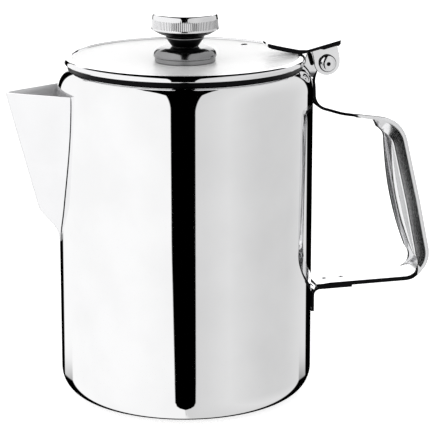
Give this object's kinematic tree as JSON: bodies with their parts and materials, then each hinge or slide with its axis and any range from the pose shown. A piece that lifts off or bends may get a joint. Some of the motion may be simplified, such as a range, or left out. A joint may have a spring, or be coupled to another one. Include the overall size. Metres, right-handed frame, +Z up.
{
  "type": "teapot",
  "caption": "Straight-sided stainless steel catering teapot with a folded spout, a strap handle with a channel grip, and a flat knobbed lid hinged at the handle.",
  "frame": {"origin": "centre of the underside of the flat base, which rests on the table", "axes": "+Z up along the pot's axis, +X towards the handle and hinge, -X towards the spout, +Y across"},
  "size_m": [0.1868, 0.11, 0.167],
  "materials": {
    "polished_steel": "mirror-polished stainless steel",
    "turned_steel": "turned stainless steel, satin",
    "inner_steel": "unpolished stainless steel"
  },
  "bodies": {
    "pot": {"body_shell": "polished_steel", "spout": "polished_steel", "hinge_bracket": "polished_steel", "hinge_rivet": "turned_steel", "hinge_collar": "turned_steel", "handle_strap": "polished_steel", "handle_foot": "polished_steel"},
    "lid": {"lid_disc": "polished_steel", "lid_skirt": "inner_steel", "lid_leaf": "polished_steel", "knob_base": "polished_steel", "knob_stem": "polished_steel", "knob_cap": "turned_steel", "knob_washer": "inner_steel", "knob_screw": "inner_steel"}
  },
  "joints": [
    {"name": "lid_hinge", "type": "hinge", "parent": "pot", "child": "lid", "pos_m": [0.0615, 0, 0.1439], "axis": [0, 1, 0], "range_deg": [0, 100]}
  ]
}
